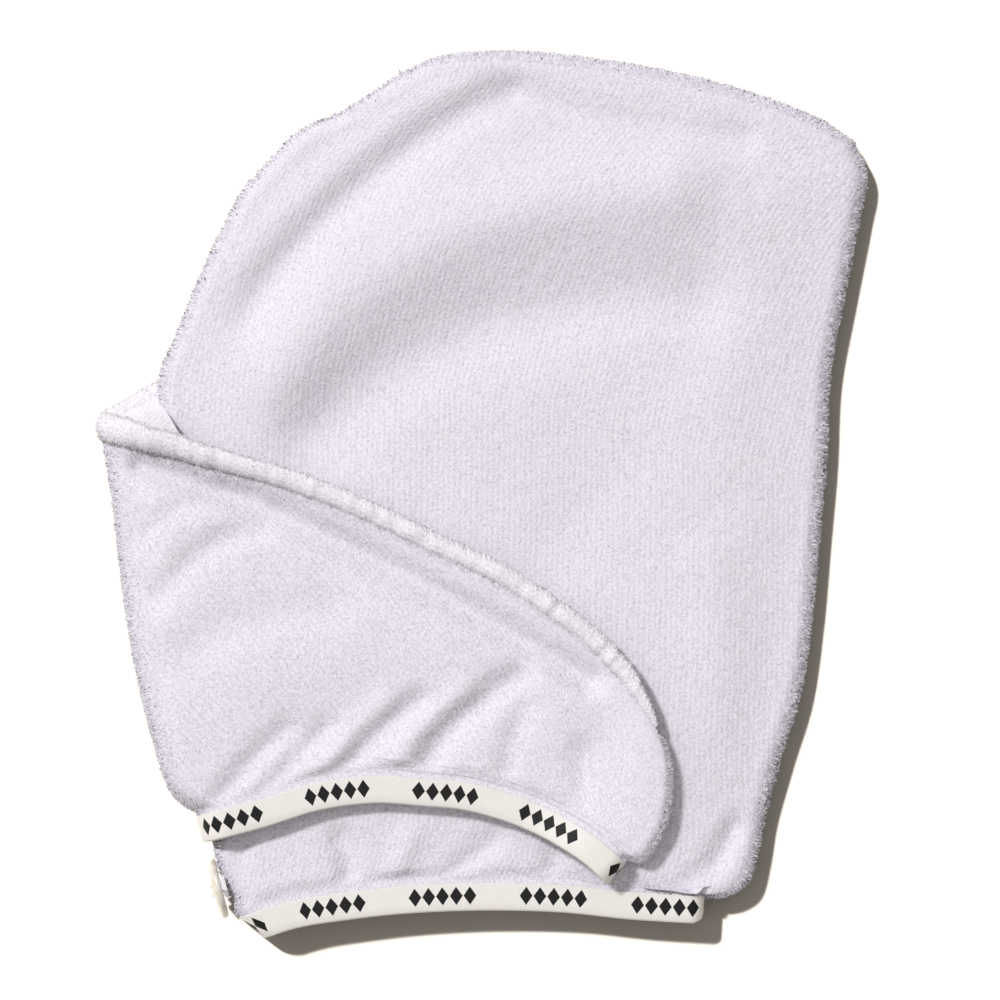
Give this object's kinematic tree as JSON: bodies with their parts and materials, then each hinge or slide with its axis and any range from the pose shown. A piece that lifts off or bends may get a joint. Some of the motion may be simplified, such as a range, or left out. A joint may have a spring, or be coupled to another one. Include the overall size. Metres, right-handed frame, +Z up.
{
  "type": "hair turban towel",
  "caption": "Terry hair turban towel lying folded flat: an open hood bag, its front flap turned over it, elastic bindings and a sewn button.",
  "frame": {"origin": "middle of the folded towel's footprint, on the surface it lies on", "axes": "+Z up from the surface, +Y from the front rim to the crown, +X to the right seen from above"},
  "size_m": [0.2762, 0.3192, 0.0263],
  "materials": {
    "terry": "white looped terry, matte",
    "elastic": "ivory satin fold-over elastic",
    "pearl": "pearly gloss",
    "cotton": "white sewing thread"
  },
  "bodies": {
    "root": {"upper_panel": "terry", "under_panel": "terry", "rim_binding": "elastic", "front_flap": "terry", "rolled_hem": "terry", "flap_binding": "elastic", "button": "pearl", "button_thread": "cotton", "button_loop": "elastic"}
  },
  "joints": []
}
